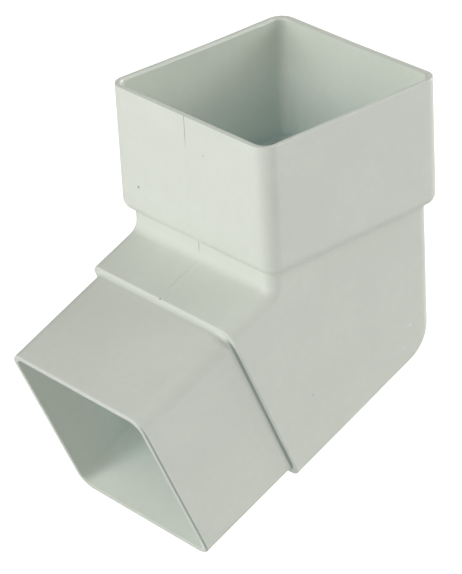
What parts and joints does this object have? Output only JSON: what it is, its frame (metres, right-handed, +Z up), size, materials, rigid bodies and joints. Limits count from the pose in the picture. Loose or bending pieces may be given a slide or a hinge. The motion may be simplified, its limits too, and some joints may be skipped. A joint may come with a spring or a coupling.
{
  "type": "downpipe offset bend",
  "caption": "Square downpipe offset bend: a socket for the pipe above, a mitred turn of 112.5 degrees and a stepped spigot for the pipe below.",
  "frame": {"origin": "centre of the socket's mouth, in the plane of its rim", "axes": "+Z up the socket's axis, against the flow; the outlet leaves towards -X and falls 22.5 degrees; +Y across, and the part is the same on both sides of Y = 0"},
  "size_m": [0.1184, 0.0702, 0.1275],
  "materials": {
    "pvc": "satin moulded rigid PVC, pale grey-green white"
  },
  "bodies": {
    "root": {"offset_bend": "pvc"}
  },
  "joints": []
}
